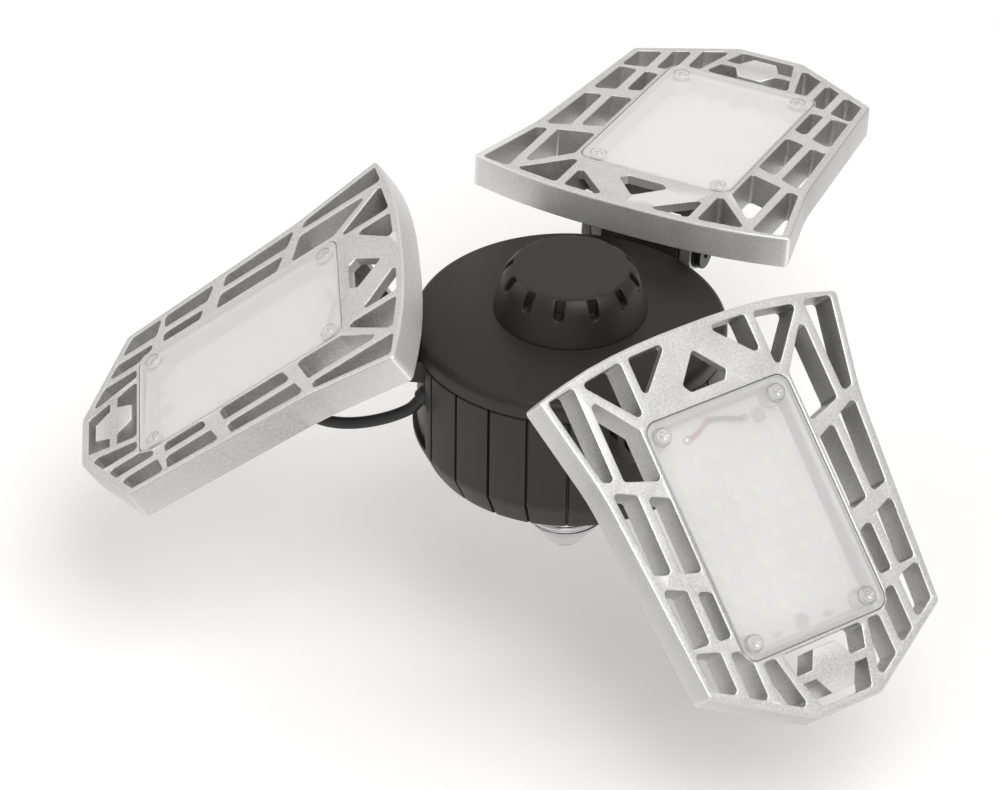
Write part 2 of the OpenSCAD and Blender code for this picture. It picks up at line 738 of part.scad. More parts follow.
module top_cover() {
    arc = [for (i = [0:5]) let (a = 90 * i / 5)
           [side_r - rim_round + rim_round * cos(a), rim_z - rim_round + rim_round * sin(a)]];
    color(black) rotate_extrude($fn = 128)
        polygon(concat([[hub_hole, dome_z - cover_t], [cap_foot_r + 1, dome_z - cover_t],
                        [inner_r - 1, rim_z - cover_t - 0.6], [inner_r, cover_z + 3], [inner_r, cover_z],
                        [side_r, cover_z]],
                       arc,
                       [[cap_foot_r + 0.6, dome_z], [hub_hole, dome_z]]));
}

cap_top = dome_z + cap_h;

module centre_cap() {
    crown_r = cap_r - 4.1;
    outer = [[cap_foot_r, dome_z], [cap_foot_r - 0.3, dome_z + 1.2], [cap_r, cap_top - 4.5],
             [cap_r - 0.4, cap_top - 3.4], [cap_r - 1.1, cap_top - 2.3], [cap_r - 1.9, cap_top - 1.3],
             [cap_r - 2.9, cap_top - 0.4], [crown_r, cap_top], [0, cap_top]];
    inner = [[0, cap_top - 2.4], [crown_r - 2.5, cap_top - 2.4], [cap_r - 5.6, cap_top - 5],
             [cap_foot_r - 5.2, dome_z + 2], [cap_foot_r - 5.2, dome_z]];
    notch_foot = dome_z + 0.58 * cap_h;
    color(black) difference() {
        union() {
            rotate_extrude($fn = 96) polygon(concat(outer, inner));
            ring(hub_hole - 2.2, hub_hole - 0.3, dome_z - cover_t - 1.4, cap_top - 2);
        }
        for (k = [0:notches - 1]) rotate(360 * (k + 0.5) / notches)
            translate([cap_r - notch_d, 0, notch_foot + notch_w / 2]) {
                translate([0, -notch_w / 2, 0]) cube([10, notch_w, cap_h]);
                rotate([0, 90, 0]) cylinder(r = notch_w / 2, h = 10, $fn = 32);
            }
    }
}

neck_r = thread_r - sheet_t - thread_d - 0.3;
collar_in = thread_r - sheet_t;

module lower_body() {
    profile = [[side_r, ledge_z], [side_r, ledge_z - 1.4], [base_r, base_z + 2],
               [base_r - 0.9, base_z + 0.6], [base_r - 3, base_z], [20.5, base_z], [16.5, base_z - 3],
               [thread_r + 0.9, lampcap_h + 0.6], [thread_r + 0.9, lampcap_h], [collar_in, lampcap_h],
               [collar_in, lampcap_h - collar_h + 0.3], [neck_r, lampcap_h - collar_h - 0.6], [neck_r, 15],
               [neck_r - 1.8, 15], [neck_r - 1.8, base_z - 2], [18, base_z + 2.2],
               [base_r - 5, base_z + 2.2], [inner_r, ledge_z - 4], [inner_r, ledge_z]];
    color(black) difference() {
        union() {
            rotate_extrude($fn = 128) polygon(profile);
            ring(inner_r - 2.2, inner_r - 0.3, ledge_z - 7, ledge_z + spigot_up);
            for (a = [0, 120, 240]) rotate(a) translate([screw_ring, 0, base_z + 1])
                cylinder(r = 4, h = ledge_z - base_z);
        }
        grooves();
        for (a = [0, 120, 240]) rotate(a) translate([screw_ring, 0, base_z - 1]) {
            cylinder(r = 1.7, h = 30);
            cylinder(r = 3.1, h = 3.4);
        }
    }
}

module body_screws() {
    color(steel) for (a = [0, 120, 240]) rotate(a) translate([screw_ring, 0, base_z + 0.4])
        mirror([0, 0, 1]) screw(2.8, 2, 1.5, ledge_z - base_z + 14);
}

module lead_inlets() {
    color(black) difference() {
        union() {
            difference() {
                along_inlets() translate([0, 0, -1.5]) cylinder(r = inlet_r, h = inlet_out + 1.5);
                translate([0, 0, ledge_z]) cylinder(r = body_r, h = cover_z - ledge_z, $fn = 128);
            }
            along_inlets() translate([0, 0, -8]) cylinder(r = spigot_r, h = 10);
        }
        along_inlets() translate([0, 0, -9]) cylinder(r = lead_r, h = 20);
    }
}

// ---------------------------------------------------------------- lamp cap

thread_top = lampcap_h - collar_h;
thread_turns = 3;
shell_foot = thread_top - thread_turns * thread_pitch;
shell_end = shell_foot - 1.7;
shell_end_r = thread_r - 1.3;

// Radius of the thread's round waves at height z
function wave(z) = thread_r - thread_d * (1 - cos(360 * (thread_top - z) / thread_pitch)) / 2;

module lampcap_shell() {
    steps = 12 * thread_turns;
    waves = [for (i = [0:steps]) let (z = thread_top - i * thread_pitch / 12) [wave(z), z]];
    outer = concat([[thread_r, lampcap_h]], waves,
                   [[thread_r - 0.5, shell_foot - 1.1], [shell_end_r, shell_end]]);
    back = [for (i = [len(outer) - 1:-1:0]) outer[i] - [sheet_t, i == len(outer) - 1 ? -sheet_t : 0]];
    color([0.8, 0.8, 0.81]) rotate_extrude($fn = 96) polygon(concat(outer, back));
}

contact_r = 4.6;

module lampcap_insulator() {
    top = shell_end + sheet_t;
    r = shell_end_r - sheet_t - 0.05;
    color([0.9, 0.89, 0.86]) difference() {
        rotate_extrude() polygon([[0, 2], [contact_r + 0.6, 2], [contact_r + 1.8, 2.6], [r - 0.9, top - 2.6],
                                  [r, top - 1.2], [r, top + 0.9], [r - 2, top + 1.6], [0, top + 1.6]]);
        translate([0, 0, -1]) cylinder(r = 1.1, h = 30);
    }
}

module lampcap_contact() {
    color([0.75, 0.7, 0.6]) union() {
        rotate_extrude() polygon([[0, 0], [contact_r - 1.4, 0], [contact_r - 0.3, 0.6], [contact_r, 1.3],
                                  [contact_r, 2], [0, 2]]);
        cylinder(r = 1.05, h = 12);
    }
}

wire_x = neck_r - 3.2;
wire_foot = 13.6;

// One wire from the end contact's rivet, and one from the shell's inner face
module supply_wires() {
    color([0.75, 0.75, 0.72]) {
        translate([0, 0, 12]) cylinder(r = 0.9, h = driver_z + 0.6 - 12);
        translate([wire_x, 0, wire_foot]) cylinder(r = 0.9, h = driver_z + 0.6 - wire_foot);
        translate([wire_x, 0, wire_foot]) rotate([0, 90, 0]) cylinder(r = 0.9, h = collar_in - 0.85 - wire_x);
        translate([wire_x, 0, wire_foot]) sphere(r = 0.9);
    }
}

// ---------------------------------------------------------------- driver

driver_z = ledge_z + 4;
driver_r = inner_r - 16;

module driver_board() {
    color([0.1, 0.35, 0.2]) difference() {
        translate([0, 0, driver_z]) cylinder(r = driver_r, h = 1.6);
        translate([0, 0, driver_z - 0.4]) cylinder(r = 0.95, h = 1);
        translate([wire_x, 0, driver_z - 0.4]) cylinder(r = 0.95, h = 1);
    }
    // Standoff posts that rest on the lower body's floor
    color([0.2, 0.2, 0.2]) for (a = [60, 180, 300]) rotate(a)
        translate([driver_r - 4, 0, base_z + 2.2]) cylinder(r = 2.5, h = driver_z - base_z - 2.2 + eps);
}

module driver_transformer() {
    color([0.85, 0.75, 0.25]) translate([-9, 2, driver_z + 1.6]) {
        cube([20, 16, 3]);
        translate([2, 1.5, 3]) cube([16, 13, 10]);
        translate([0, 0, 13]) cube([20, 16, 3]);
    }
}

module driver_capacitors() {
    // Place as shares of the board's radius, then radius and height
    color([0.15, 0.15, 0.3]) for (p = [[-0.58, -0.26, 5, 18], [0.45, -0.32, 4, 13], [-0.13, -0.65, 4, 13]])
        translate([p[0] * driver_r, p[1] * driver_r, driver_z + 1.6]) cylinder(r = p[2], h = p[3]);
}

module driver_choke() {
    color([0.6, 0.3, 0.15]) translate([5, -10, driver_z + 1.6]) difference() {
        translate([-0.5, 0, 0]) cylinder(r = 4, h = 9);
        translate([-0.5, 0, -1]) cylinder(r = 1.4, h = 12);
    }
}

// ---------------------------------------------------------------- placing

module at_panel(az, tilt) {
    translate([0, 0, hinge_z]) rotate(az - 90) translate([0, hinge_r, 0]) rotate([-tilt, 0, 0]) children();
}

module front() { at_panel(front_az, front_tilt) children(); }
module rear() { at_panel(rear_az, rear_tilt) children(); }
module left() { at_panel(left_az, left_tilt) children(); }

upper_body();
top_cover();
centre_cap();
lower_body();
body_screws();
lead_inlets();
lampcap_shell();
lampcap_insulator();
lampcap_contact();
supply_wires();
driver_board();
driver_transformer();
driver_capacitors();
driver_choke();
front() casting();  // front_panel_casting
rear() casting();  // rear_panel_casting
left() casting();  // left_panel_casting
front() lens();  // front_lens
rear() lens();  // rear_lens
left() lens();  // left_lens
front() lens_gasket();  // front_lens_gasket
rear() lens_gasket();  // rear_lens_gasket
left() lens_gasket();  // left_lens_gasket
front() led_board();  // front_led_board
rear() led_board();  // rear_led_board
left() led_board();  // left_led_board
front() leds();  // front_leds
rear() leds();  // rear_leds
left() leds();  // left_leds
front() board_wires();  // front_board_wires
rear() board_wires();  // rear_board_wires
left() board_wires();  // left_board_wires
front() lens_screws();  // front_lens_screws
rear() lens_screws();  // rear_lens_screws
left() lens_screws();  // left_lens_screws
front() board_screws();  // front_board_screws
rear() board_screws();  // rear_board_screws
left() board_screws();  // left_board_screws
front() hinge_bolt();  // front_hinge_bolt
rear() hinge_bolt();  // rear_hinge_bolt
left() hinge_bolt();  // left_hinge_bolt
front() hinge_nut();  // front_hinge_nut
rear() hinge_nut();  // rear_hinge_nut
left() hinge_nut();  // left_hinge_nut
front() hinge_washers();  // front_hinge_washers
rear() hinge_washers();  // rear_hinge_washers
left() hinge_washers();  // left_hinge_washers
front() gland();  // front_gland
rear() gland();  // rear_gland
left() gland();  // left_gland
lead(front_az, front_tilt, front_sag);  // front_lead
lead(rear_az, rear_tilt, rear_sag);  // rear_lead
lead(left_az, left_tilt, left_sag);  // left_lead
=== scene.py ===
"""Looks of a folding three-panel garage light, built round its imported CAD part."""

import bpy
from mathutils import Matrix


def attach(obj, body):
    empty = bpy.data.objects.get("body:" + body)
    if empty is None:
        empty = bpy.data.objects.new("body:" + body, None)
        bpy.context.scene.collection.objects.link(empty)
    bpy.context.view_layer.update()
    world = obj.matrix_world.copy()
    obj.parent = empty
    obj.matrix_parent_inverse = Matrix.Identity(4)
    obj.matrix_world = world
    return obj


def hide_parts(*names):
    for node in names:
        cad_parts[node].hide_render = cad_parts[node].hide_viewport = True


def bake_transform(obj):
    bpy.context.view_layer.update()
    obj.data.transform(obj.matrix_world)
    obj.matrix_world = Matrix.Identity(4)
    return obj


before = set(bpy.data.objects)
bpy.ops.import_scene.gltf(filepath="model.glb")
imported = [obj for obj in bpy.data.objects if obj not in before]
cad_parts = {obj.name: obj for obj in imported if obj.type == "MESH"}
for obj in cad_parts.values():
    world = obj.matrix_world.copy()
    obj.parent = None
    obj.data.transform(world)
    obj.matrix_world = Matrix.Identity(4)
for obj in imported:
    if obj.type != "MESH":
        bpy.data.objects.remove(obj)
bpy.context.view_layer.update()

import logging
import math
from dataclasses import dataclass
from enum import Enum
from typing import Callable, Iterable, Sequence

import bmesh
import bpy
from mathutils import Matrix, Quaternion, Vector

LOG = logging.getLogger("garage_light")

MM = 0.001
HINGE_Z = 86.0
HINGE_R = 62.7
LEAD_X = 13.0
LEAD_R = 2.0

# In a copy of a CAD node: points closer than this, in millimetres, are merged, and faces flatter to each
# other than this, in degrees, are joined.
MERGE_GAP = 0.004
JOIN_ANGLE = 0.2
# How far from a level a point may lie, in millimetres, and still count as on it: for faces, and for edges.
FACE_SLACK = 0.01
EDGE_SLACK = 0.02
# Slope of the normal, as its z, of faces that count as flat, and of those that count as upright.
FLAT = 0.99
UPRIGHT = 0.3


# ------------------------------------------------------------------ places

@dataclass(frozen=True)
class PanelPlace:
    """One panel's azimuth and tilt below level, in degrees, and its lead's slack, in millimetres."""

    name: str
    azimuth: float
    tilt: float
    slack: float

    @property
    def body(self) -> str:
        """Name of the CAD body that the panel is."""
        return f"{self.name}_panel"

    def matrix(self) -> Matrix:
        """Takes a point of the panel's own frame, in millimetres, to the part's frame in metres."""
        return (Matrix.Scale(MM, 4)
                @ Matrix.Translation((0, 0, HINGE_Z))
                @ Matrix.Rotation(math.radians(self.azimuth - 90), 4, "Z")
                @ Matrix.Translation((0, HINGE_R, 0))
                @ Matrix.Rotation(math.radians(-self.tilt), 4, "X"))

    def hub_matrix(self) -> Matrix:
        """Takes a point of the hub's frame turned to this hinge, in millimetres, to the part's frame."""
        return (Matrix.Scale(MM, 4)
                @ Matrix.Translation((0, 0, HINGE_Z))
                @ Matrix.Rotation(math.radians(self.azimuth - 90), 4, "Z"))


PLACES = (
    PanelPlace("front", 300.0, 43.0, 28.0),
    PanelPlace("rear", 60.0, 5.0, 8.0),
    PanelPlace("left", 180.0, 35.0, 22.0),
)
HUB_FRAME = Matrix.Scale(MM, 4)


# ------------------------------------------------------------------ finishes

class Shader:
    """A material's node tree, with short ways to add what the finishes here need."""

    pattern_band: tuple[float, float] = (0.25, 0.75)
    # Pointiness band over which the painted edge highlight comes in.
    highlight_band: tuple[float, float] = (0.51, 0.56)

    def __init__(self, name: str) -> None:
        """Makes an empty material with a Principled shader.

        Args:
            name: The material's name.
        """
        self.material = bpy.data.materials.new(name)
        self.material.use_nodes = True
        self.tree = self.material.node_tree
        self.bsdf = self.tree.nodes["Principled BSDF"]
        self.coords = self.tree.nodes.new("ShaderNodeTexCoord").outputs["Object"]

    def put(self, socket: str, value: float | Sequence[float]) -> None:
        """Sets a constant on one of the shader's own sockets."""
        self.bsdf.inputs[socket].default_value = value

    def noise(self, scale: float, detail: float = 3.0, roughness: float = 0.5) -> bpy.types.NodeSocket:
        """Adds a noise pattern.

        Args:
            scale: Repeats per metre.
            detail: Octaves.
            roughness: Weight of the finer octaves.

        Returns:
            The pattern's output socket, 0 to 1.
        """
        node = self.tree.nodes.new("ShaderNodeTexNoise")
        node.inputs["Scale"].default_value = scale
        node.inputs["Detail"].default_value = detail
        node.inputs["Roughness"].default_value = roughness
        self.tree.links.new(self.coords, node.inputs["Vector"])
        return node.outputs["Fac"]

    def ramp(self, source: bpy.types.NodeSocket, low: float, high: float,
             dark: Sequence[float], light: Sequence[float]) -> bpy.types.NodeSocket:
        """Maps a pattern to a colour between two limits.

        Args:
            source: The pattern.
            low: Where the dark colour ends.
            high: Where the light colour starts.
            dark: Colour below low.
            light: Colour above high.

        Returns:
            The colour socket.
        """
        node = self.tree.nodes.new("ShaderNodeValToRGB")
        first, last = node.color_ramp.elements
        first.position, last.position = low, high
        first.color, last.color = (*dark, 1.0), (*light, 1.0)
        self.tree.links.new(source, node.inputs["Fac"])
        return node.outputs["Color"]

    def spread(self, source: bpy.types.NodeSocket, low: float, high: float) -> bpy.types.NodeSocket:
        """Maps the middle of a 0 to 1 pattern to a range.

        Args:
            source: The pattern.
            low: The lowest value.
            high: The highest value.

        Returns:
            The value's socket.
        """
        return self.mapped(source, self.pattern_band, (low, high))

    def mapped(self, source: bpy.types.NodeSocket, band: tuple[float, float],
               target: tuple[float, float] = (0.0, 1.0)) -> bpy.types.NodeSocket:
        """Maps one band of values to another, and clamps what lies outside.

        Args:
            source: The values.
            band: Where they start and end.
            target: Where the result starts and ends.

        Returns:
            The result's socket.
        """
        node = self.tree.nodes.new("ShaderNodeMapRange")
        for socket, value in zip(("From Min", "From Max", "To Min", "To Max"), (*band, *target)):
            node.inputs[socket].default_value = value
        self.tree.links.new(source, node.inputs["Value"])
        return node.outputs["Result"]

    def painted_edge_highlight(self, colour: bpy.types.NodeSocket, highlight_colour: Sequence[float]) -> bpy.types.NodeSocket:
        """Lightens the sharp edges, found by their curvature, with a painted highlight.

        Args:
            colour: The colour elsewhere.
            highlight_colour: The colour of the painted highlight on the edges.

        Returns:
            The mixed colour.
        """
        point = self.tree.nodes.new("ShaderNodeNewGeometry").outputs["Pointiness"]
        mix = self.tree.nodes.new("ShaderNodeMix")
        mix.data_type = "RGBA"
        factor, first, second, mixed = mix.inputs[0], mix.inputs[6], mix.inputs[7], mix.outputs[2]
        second.default_value = (*highlight_colour, 1.0)
        self.tree.links.new(self.mapped(point, self.highlight_band), factor)
        self.tree.links.new(colour, first)
        return mixed

    def bump(self, layers: Iterable[tuple[bpy.types.NodeSocket, float, float]]) -> None:
        """Stacks bump layers and plugs them into the shader.

        Args:
            layers: For each layer its pattern, its strength and its height in metres.
        """
        normal = None
        for pattern, strength, height in layers:
            node = self.tree.nodes.new("ShaderNodeBump")
            node.inputs["Strength"].default_value = strength
            node.inputs["Distance"].default_value = height
            self.tree.links.new(pattern, node.inputs["Height"])
            if normal is not None:
                self.tree.links.new(normal, node.inputs["Normal"])
            normal = node.outputs["Normal"]
        self.tree.links.new(normal, self.bsdf.inputs["Normal"])

    def link(self, source: bpy.types.NodeSocket, socket: str) -> None:
        """Plugs a pattern into one of the shader's sockets."""
        self.tree.links.new(source, self.bsdf.inputs[socket])


@dataclass(frozen=True)
class CastAluminium:
    """Bare die casting: satin metal with a fine bright grain, slight clouding and a painted highlight along
    its sharp edges.
    """

    name: str = "cast_aluminium"
    dark: tuple[float, float, float] = (0.53, 0.525, 0.52)
    light: tuple[float, float, float] = (0.78, 0.775, 0.77)
    # Colour of the painted highlight on the sharp edges.
    highlight_colour: tuple[float, float, float] = (0.92, 0.915, 0.91)
    grain: float = 1500.0
    clouds: float = 90.0
    speckle: tuple[float, float] = (0.36, 0.66)
    cloud_relief: tuple[float, float] = (0.25, 0.0005)
    grain_relief: tuple[float, float] = (0.40, 0.00012)
    roughness: tuple[float, float] = (0.34, 0.46)
    metallic: float = 0.7

    def material(self) -> bpy.types.Material:
        """Builds the finish.

        Returns:
            The new material.
        """
        s = Shader(self.name)
        s.put("Metallic", self.metallic)
        clouds = s.noise(self.clouds, 4.0)
        grain = s.noise(self.grain, 2.0, 0.6)
        speckled = s.ramp(grain, *self.speckle, self.dark, self.light)
        # The base colour carries a painted highlight on the sharp edges.
        s.link(s.painted_edge_highlight(speckled, self.highlight_colour), "Base Color")
        s.link(s.spread(clouds, *self.roughness), "Roughness")
        s.bump(((clouds, *self.cloud_relief), (grain, *self.grain_relief)))
        return s.material


@dataclass(frozen=True)
class Moulding:
    """A smooth piece, such as moulded plastic or plated metal, with a fine texture and faint clouding."""

    name: str
    colour: tuple[float, float, float]
    roughness: tuple[float, float]
    grain: float = 2600.0
    relief: float = 0.00006
    metallic: float = 0.0
    shine: float = 0.5
    clouds: float = 60.0
    shade: float = 0.08

    def material(self) -> bpy.types.Material:
        """Builds the finish.

        Returns:
            The new material.
        """
        s = Shader(self.name)
        s.put("Metallic", self.metallic)
        s.put("Specular IOR Level", self.shine)
        grain = s.noise(self.grain, 2.0)
        clouds = s.noise(self.clouds, 3.0)
        dark = tuple(c * (1 - self.shade) for c in self.colour)
        light = tuple(min(1.0, c * (1 + self.shade)) for c in self.colour)
        s.link(s.ramp(clouds, 0.3, 0.7, dark, light), "Base Color")
        s.link(s.spread(clouds, *self.roughness), "Roughness")
        s.bump(((grain, 0.35, self.relief),))
        return s.material


@dataclass(frozen=True)
class Paper:
    """The floor: matt and white, with a grain too fine to see as spots."""

    name: str = "floor_white"
    colour: tuple[float, float, float] = (0.93, 0.922, 0.918)
    glow: float = 0.18

    def material(self) -> bpy.types.Material:
        """Builds the finish.

        Returns:
            The new material.
        """
        s = Shader(self.name)
        s.put("Base Color", (*self.colour, 1.0))
        s.put("Emission Color", (*self.colour, 1.0))
        s.put("Emission Strength", self.glow)
        s.put("Roughness", 0.9)
        s.put("Specular IOR Level", 0.1)
        s.bump(((s.noise(900.0, 1.0), 0.05, 0.00001),))
        return s.material


@dataclass(frozen=True)
class FrostedLens:
    """Translucent cover: milky, and more so at a glancing angle."""

    name: str = "lens_plastic"
    colour: tuple[float, float, float] = (0.97, 0.97, 0.965)
    veil: tuple[float, float] = (0.33, 0.92)
    veil_blend: float = 0.35
    index: float = 1.49
    frost: float = 900.0
    roughness: tuple[float, float] = (0.16, 0.26)

    def material(self) -> bpy.types.Material:
        """Builds the finish.

        Returns:
            The new material.
        """
        s = Shader(self.name)
        s.put("Base Color", (*self.colour, 1.0))
        s.put("IOR", self.index)
        rim = s.tree.nodes.new("ShaderNodeLayerWeight")
        rim.inputs["Blend"].default_value = self.veil_blend
        s.link(s.spread(rim.outputs["Facing"], *self.veil), "Alpha")
        frost = s.noise(self.frost, 2.0)
        s.link(s.spread(frost, *self.roughness), "Roughness")
        s.bump(((frost, 0.15, 0.00003),))
        s.material.blend_method = "BLEND"
        return s.material


class Finish(Enum):
    """The finishes of the light's pieces; each value is the recipe."""

    CASTING = CastAluminium()
    # Painted shade: darker copies of the casting finish that stand in for the shade on upright walls; the
    # darker one for the outline's walls, the lighter one for the inner walls.
    OUTER_WALL_SHADE = CastAluminium("outline_wall_painted_shade", (0.27, 0.265, 0.26), (0.42, 0.415, 0.41), (0.78, 0.775, 0.77),
                         roughness=(0.42, 0.54))
    INNER_WALL_SHADE = CastAluminium("inner_wall_painted_shade", (0.36, 0.355, 0.35), (0.52, 0.515, 0.51), (0.84, 0.835, 0.83),
                              roughness=(0.40, 0.52))
    BLACK = Moulding("body_black", (0.023, 0.0175, 0.017), (0.40, 0.50), shine=0.38)
    GLAND = Moulding("gland_black", (0.022, 0.022, 0.023), (0.45, 0.55))
    SHEATH = Moulding("lead_sheath", (0.014, 0.014, 0.014), (0.42, 0.55), 1800.0)
    LENS = FrostedLens()
    GASKET = Moulding("gasket_rubber", (0.78, 0.79, 0.78), (0.55, 0.65))
    BOARD = Moulding("white_board", (0.80, 0.80, 0.795), (0.30, 0.38))
    CHIP = Moulding("chip_body", (0.96, 0.96, 0.95), (0.35, 0.45))
    PHOSPHOR = Moulding("phosphor", (0.95, 0.88, 0.60), (0.40, 0.50))
    SOLDER = Moulding("solder", (0.62, 0.62, 0.62), (0.25, 0.35), 1500.0, 0.0001, 1.0)
    RED_WIRE = Moulding("red_wire", (0.45, 0.02, 0.02), (0.35, 0.45))
    BLACK_WIRE = Moulding("black_wire", (0.02, 0.02, 0.02), (0.35, 0.45))
    STEEL = Moulding("plated_steel", (0.55, 0.55, 0.56), (0.22, 0.34), 1800.0, 0.00004, 1.0)
    PALE_STEEL = Moulding("pale_steel", (0.82, 0.82, 0.82), (0.24, 0.34), 1800.0, 0.00004, 0.8)
    OXIDE = Moulding("black_oxide", (0.03, 0.03, 0.03), (0.35, 0.45), 1800.0, 0.00005, 0.6)
    NICKEL = Moulding("bright_nickel", (0.74, 0.74, 0.75), (0.08, 0.16), 400.0, 0.00004, 1.0)
    CERAMIC = Moulding("cap_insulator", (0.74, 0.73, 0.705), (0.25, 0.35), 900.0)
    BRASS = Moulding("contact_brass", (0.62, 0.56, 0.42), (0.25, 0.40), 900.0, 0.00005, 1.0)
    CIRCUIT = Moulding("circuit_board", (0.03, 0.16, 0.07), (0.30, 0.40))
    TAPE = Moulding("yellow_tape", (0.72, 0.55, 0.08), (0.40, 0.50))
    SLEEVE = Moulding("capacitor_sleeve", (0.03, 0.03, 0.09), (0.25, 0.35))
    COPPER = Moulding("enamelled_copper", (0.45, 0.19, 0.07), (0.25, 0.35), 1800.0, 0.0001, 1.0)
    FLOOR = Paper()


_made: dict[Finish, bpy.types.Material] = {}


def dressed_in(finish: Finish) -> bpy.types.Material:
    """The material of a finish, built on its first use.

    Args:
        finish: The finish.

    Returns:
        Its material.
    """
    if finish not in _made:
        _made[finish] = finish.value.material()
    return _made[finish]


# ------------------------------------------------------------------ mesh work

def settle(name: str, bm: bmesh.types.BMesh, finishes: Sequence[Finish], place: Matrix | None = None,
           sharp: float = 40.0) -> bpy.types.Object:
    """Turns a bmesh into an object of the scene, with its place in its mesh.

    Args:
        name: The object's name.
        bm: The shape; it is freed.
        finishes: Finishes in the order of the faces' material numbers.
        place: Takes the shape's own frame to the part's frame, in metres.
        sharp: Angle in degrees above which an edge stays sharp.

    Returns:
        The new object.
    """
    if place is not None:
        bmesh.ops.transform(bm, matrix=place, verts=bm.verts)
    mesh = bpy.data.meshes.new(name)
    bm.to_mesh(mesh)
    bm.free()
    for finish in finishes:
        mesh.materials.append(dressed_in(finish))
    mesh.shade_smooth()
    mesh.set_sharp_from_angle(angle=math.radians(sharp))
    obj = bpy.data.objects.new(name, mesh)
    bpy.context.scene.collection.objects.link(obj)
    weighted = obj.modifiers.new("even_normals", "WEIGHTED_NORMAL")
    weighted.keep_sharp = True
    return obj


def claim(obj: bpy.types.Object, body: str, slot: str, *nodes: str) -> bpy.types.Object:
    """Hangs a piece on a body and hides the CAD nodes it stands for.

    Args:
        obj: The piece.
        body: The CAD body it moves with.
        slot: Not used.
        nodes: CAD nodes that it replaces.

    Returns:
        The piece.
    """
    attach(obj, body)
    if nodes:
        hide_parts(*nodes)
    LOG.info("%s rides on %s", obj.name, body)
    return obj


def merged_copy(node: str, place: Matrix | None = None) -> bmesh.types.BMesh:
    """A copy of a CAD node's mesh with its doubles merged and its flat faces joined.

    Args:
        node: The CAD node's name.
        place: The frame to bring it into; none keeps the part's frame, in metres.

    Returns:
        The copy.
    """
    bm = bmesh.new()
    bm.from_mesh(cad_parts[node].data)
    bmesh.ops.transform(bm, matrix=(place or HUB_FRAME).inverted(), verts=bm.verts)
    bmesh.ops.remove_doubles(bm, verts=bm.verts, dist=MERGE_GAP)
    bmesh.ops.dissolve_limit(bm, angle_limit=math.radians(JOIN_ANGLE), verts=bm.verts, edges=bm.edges)
    return bm


def soften(bm: bmesh.types.BMesh, width: float, segments: int = 2, angle: float = 35.0,
           chosen: Callable[[bmesh.types.BMEdge], bool] | None = None) -> None:
    """Bevels the sharp edges of a shape.

    Args:
        bm: The shape, in millimetres.
        width: Width of the bevel.
        segments: Faces across it.
        angle: Only edges sharper than this many degrees are bevelled.
        chosen: Keeps only the edges for which it is true.
    """
    edges = [e for e in bm.edges
             if e.is_manifold and e.calc_face_angle(0.0) > math.radians(angle)
             and (chosen is None or chosen(e))]
    bmesh.ops.bevel(bm, geom=edges, offset=width, offset_type="OFFSET", segments=segments, profile=0.5,
                    affect="EDGES", material=-1, clamp_overlap=False, loop_slide=True)


def longest_loop(bm: bmesh.types.BMesh, level: float) -> set[bmesh.types.BMEdge]:
    """The outline of a shape's flat top, found as the widest chain of edges between it and upright walls.

    Args:
        bm: The shape.
        level: Height of the flat top.

    Returns:
        The outline's edges.
    """
    rims = {e for e in bm.edges
            if e.is_manifold and all(abs(v.co.z - level) < FACE_SLACK for v in e.verts)
            and max(f.normal.z for f in e.link_faces) > FLAT and min(f.normal.z for f in e.link_faces) < 0.5}
    best: set[bmesh.types.BMEdge] = set()
    width = 0.0
    while rims:
        chain, front = set(), {rims.pop()}
        while front:
            edge = front.pop()
            chain.add(edge)
            near = {other for v in edge.verts for other in v.link_edges} & rims
            rims -= near
            front |= near
        xs = [v.co.x for e in chain for v in e.verts]
        if max(xs) - min(xs) > width:
            best, width = chain, max(xs) - min(xs)
    return best


def lies_at(edge: bmesh.types.BMEdge, level: float) -> bool:
    """Whether both ends of an edge are at a height."""
    return all(abs(v.co.z - level) < EDGE_SLACK for v in edge.verts)


def refill(bm: bmesh.types.BMesh, level: float) -> None:
    """Replaces the flat faces at a height by a clean fill between their rims.

    Bevels can make a large flat face cross itself where its rim is narrow. A fill of small triangles can't,
    and where two of them land on one rim edge the smaller goes, and its hole is closed.

    Args:
        bm: The shape, closed.
        level: Height of the flat faces.
    """
    flat = [f for f in bm.faces if abs(f.normal.z) > 0.999
            and all(abs(v.co.z - level) < FACE_SLACK for v in f.verts)]
    up = 1.0 if flat[0].normal.z > 0 else -1.0
    bmesh.ops.delete(bm, geom=flat, context="FACES")
    rims = [e for e in bm.edges if e.is_boundary]
    made = bmesh.ops.triangle_fill(bm, use_beauty=True, use_dissolve=False, edges=rims, normal=(0.0, 0.0, up))
    fill = {g for g in made["geom"] if isinstance(g, bmesh.types.BMFace)}
    spare: set[bmesh.types.BMFace] = set()
    for edge in bm.edges:
        held = [f for f in edge.link_faces if f not in spare]
        if len(held) > 2:
            spare |= set(sorted(fill & set(held), key=lambda f: f.calc_area())[:len(held) - 2])
    bmesh.ops.delete(bm, geom=list(spare), context="FACES_ONLY")
    bmesh.ops.delete(bm, geom=[e for e in bm.edges if not e.link_faces], context="EDGES")
    bmesh.ops.holes_fill(bm, edges=[e for e in bm.edges if e.is_boundary], sides=6)


